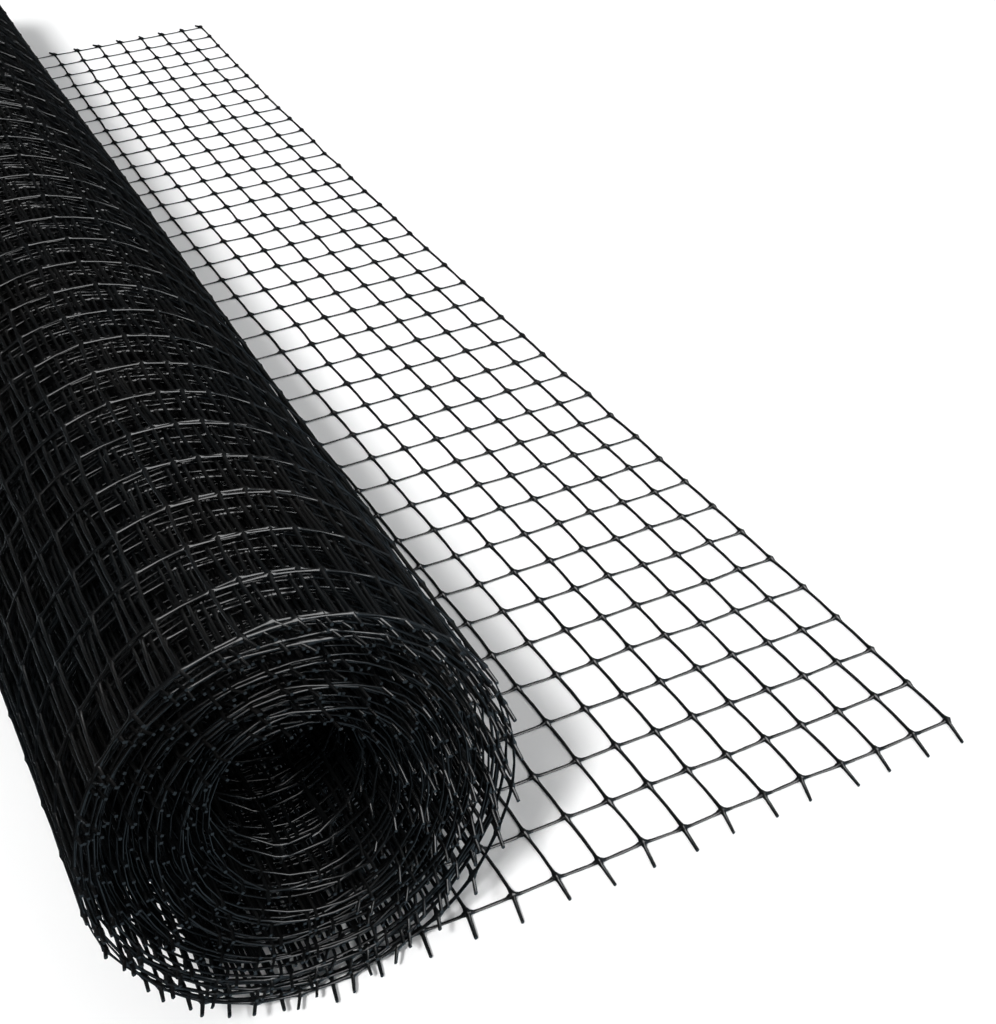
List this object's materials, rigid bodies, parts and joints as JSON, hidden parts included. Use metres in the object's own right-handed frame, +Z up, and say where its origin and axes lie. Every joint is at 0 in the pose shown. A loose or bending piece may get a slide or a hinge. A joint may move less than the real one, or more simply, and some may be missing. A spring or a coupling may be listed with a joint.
{
  "type": "roll of mole netting",
  "caption": "Roll of black square-mesh plastic netting lying on its side, hollow through its middle, with its loose end laid out flat beside it.",
  "frame": {"origin": "on the floor under the middle of the roll's axis, at the centre of the flat spot that the roll rests on", "axes": "+Y along the roll from its near end to its far end, +X across the floor towards the loose end's free edge, +Z up"},
  "size_m": [0.214, 0.6, 0.0973],
  "materials": {
    "netting": "satin black drawn plastic"
  },
  "bodies": {
    "root": {"roll": "netting", "loose_end": "netting"}
  },
  "joints": []
}
